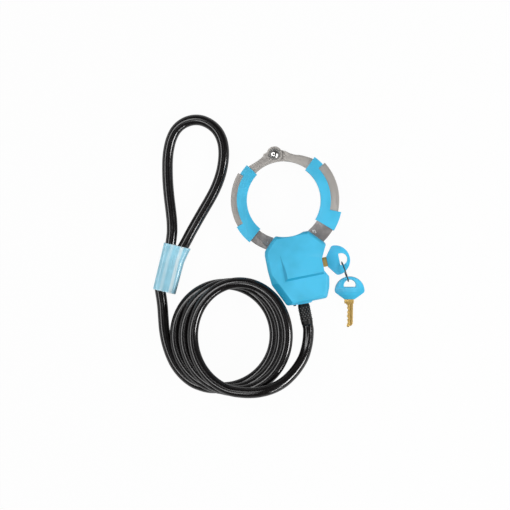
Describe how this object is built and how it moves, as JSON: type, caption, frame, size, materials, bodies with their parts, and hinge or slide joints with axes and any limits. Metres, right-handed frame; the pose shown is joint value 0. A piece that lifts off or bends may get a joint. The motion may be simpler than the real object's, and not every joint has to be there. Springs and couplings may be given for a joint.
{
  "type": "cable lock",
  "caption": "Cuff-type cable lock lying flat: hinged steel cuff with bumpers, plastic-clad lock case with a key, and a covered steel cable, coiled, with an eye at its end.",
  "frame": {"origin": "centre of the cuff's opening, half-way through the arms' thickness", "axes": "+Y towards the cuff's hinge, +X towards the key, +Z towards the front cover, away from the surface that the lock lies on"},
  "size_m": [0.1952, 0.2685, 0.0418],
  "materials": {
    "case_plastic": "satin moulded plastic, sky blue",
    "key_plastic": "satin moulded plastic, sky blue",
    "sleeve_plastic": "glossy light blue shrunk plastic",
    "zinc": "die-cast zinc, dull",
    "arm_steel": "satin steel, darker below the collars",
    "bright_steel": "polished steel",
    "plain_steel": "plain machined steel",
    "brass": "cut brass",
    "cable_vinyl": "glossy black vinyl over steel strand",
    "black_rubber": "black rubber, knurled"
  },
  "bodies": {
    "root": {"front_cover": "case_plastic", "rear_cover": "case_plastic", "case_front": "zinc", "case_rear": "zinc", "case_screws": "plain_steel", "screw_plug": "black_rubber", "cylinder_barrel": "brass", "driver_pins": "plain_steel", "pin_springs": "plain_steel", "fixed_arm": "arm_steel", "fixed_arm_bumper": "case_plastic", "hinge_rivet": "bright_steel", "hinge_washers": "bright_steel", "fixed_arm_pins": "plain_steel", "cable_anchor": "zinc", "cable_core": "plain_steel", "cable_boot": "black_rubber", "cable_lead": "cable_vinyl", "cable_coil": "cable_vinyl", "cable_run": "cable_vinyl", "cable_eye": "cable_vinyl", "ferrule_crimp": "zinc", "ferrule_strands": "plain_steel", "ferrule_sleeve": "sleeve_plastic"},
    "swing_arm": {"swing_arm": "arm_steel", "swing_arm_bumper": "case_plastic"},
    "plug": {"cylinder_plug": "brass", "key_pins": "brass", "plug_clip": "plain_steel", "cam": "plain_steel"},
    "bolt": {"locking_bolt": "plain_steel"},
    "key": {"key_blade": "brass", "key_bow": "key_plastic"},
    "ring": {"key_ring": "bright_steel"},
    "spare_key": {"spare_key_blade": "brass", "spare_key_bow": "key_plastic"}
  },
  "joints": [
    {"name": "cuff_swing", "type": "hinge", "parent": "root", "child": "swing_arm", "pos_m": [0, 0.0434, 0], "axis": [0, 0, 1], "range_deg": [0, 100]},
    {"name": "key_turn", "type": "hinge", "parent": "root", "child": "plug", "pos_m": [0, -0.064, 0], "axis": [-1, 0, 0], "range_deg": [0, 90]},
    {"name": "bolt_slide", "type": "slide", "parent": "root", "child": "bolt", "axis": [0, 1, 0], "range_m": [0, 0.0051]},
    {"name": "key_withdraw", "type": "slide", "parent": "plug", "child": "key", "axis": [1, 0, 0], "range_m": [0, 0.03]},
    {"name": "ring_swing", "type": "hinge", "parent": "key", "child": "ring", "pos_m": [0.0414, -0.0674, 0], "axis": [0, 0, 1], "range_deg": [-8, 15]},
    {"name": "spare_key_swing", "type": "hinge", "parent": "ring", "child": "spare_key", "pos_m": [0.04405, -0.0855, -0.003], "axis": [0, 0, 1], "range_deg": [-20, 20]}
  ],
  "couplings": [
    {"joint": "bolt_slide", "follows": "key_turn", "m_per_rad": 0.003241}
  ]
}
